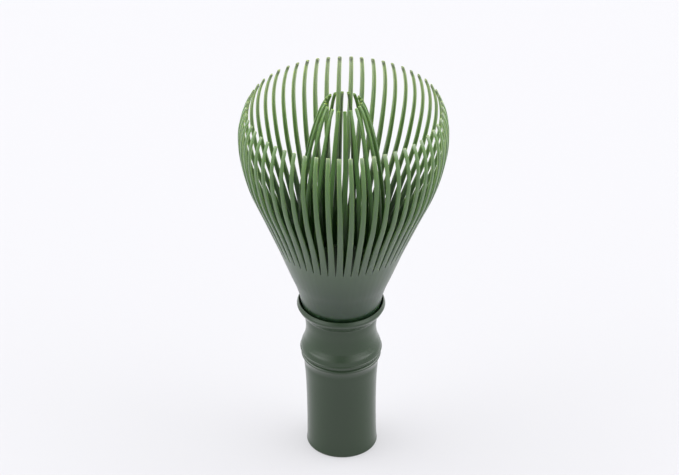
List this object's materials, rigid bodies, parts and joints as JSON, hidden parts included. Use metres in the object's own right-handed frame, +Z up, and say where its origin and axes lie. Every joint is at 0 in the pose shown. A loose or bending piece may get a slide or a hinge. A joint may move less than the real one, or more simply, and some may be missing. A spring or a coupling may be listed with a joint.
{
  "type": "tea whisk",
  "caption": "Green resin tea whisk with a bamboo-shaped handle, a flared ring of fine curved outer tines and a domed ring of inner tines.",
  "frame": {"origin": "centre of the handle's foot, on the surface that the whisk stands on", "axes": "+Z up along the whisk's axis, towards the tine tips; +X and +Y across it"},
  "size_m": [0.058, 0.058, 0.1149],
  "materials": {
    "handle_plastic": "satin moulded, dark green",
    "outer_brush_plastic": "satin moulded, dark green",
    "inner_brush_plastic": "satin moulded, dark green"
  },
  "bodies": {
    "handle_body": {"handle": "handle_plastic"},
    "outer_body": {"outer_brush": "outer_brush_plastic"},
    "inner_body": {"inner_brush": "inner_brush_plastic"}
  },
  "joints": [
    {"name": "brush_pull", "type": "slide", "parent": "handle_body", "child": "outer_body", "axis": [0, 0, 1], "range_m": [0, 0.02]},
    {"name": "inner_pull", "type": "slide", "parent": "outer_body", "child": "inner_body", "axis": [0, 0, 1], "range_m": [0, 0.072]}
  ]
}
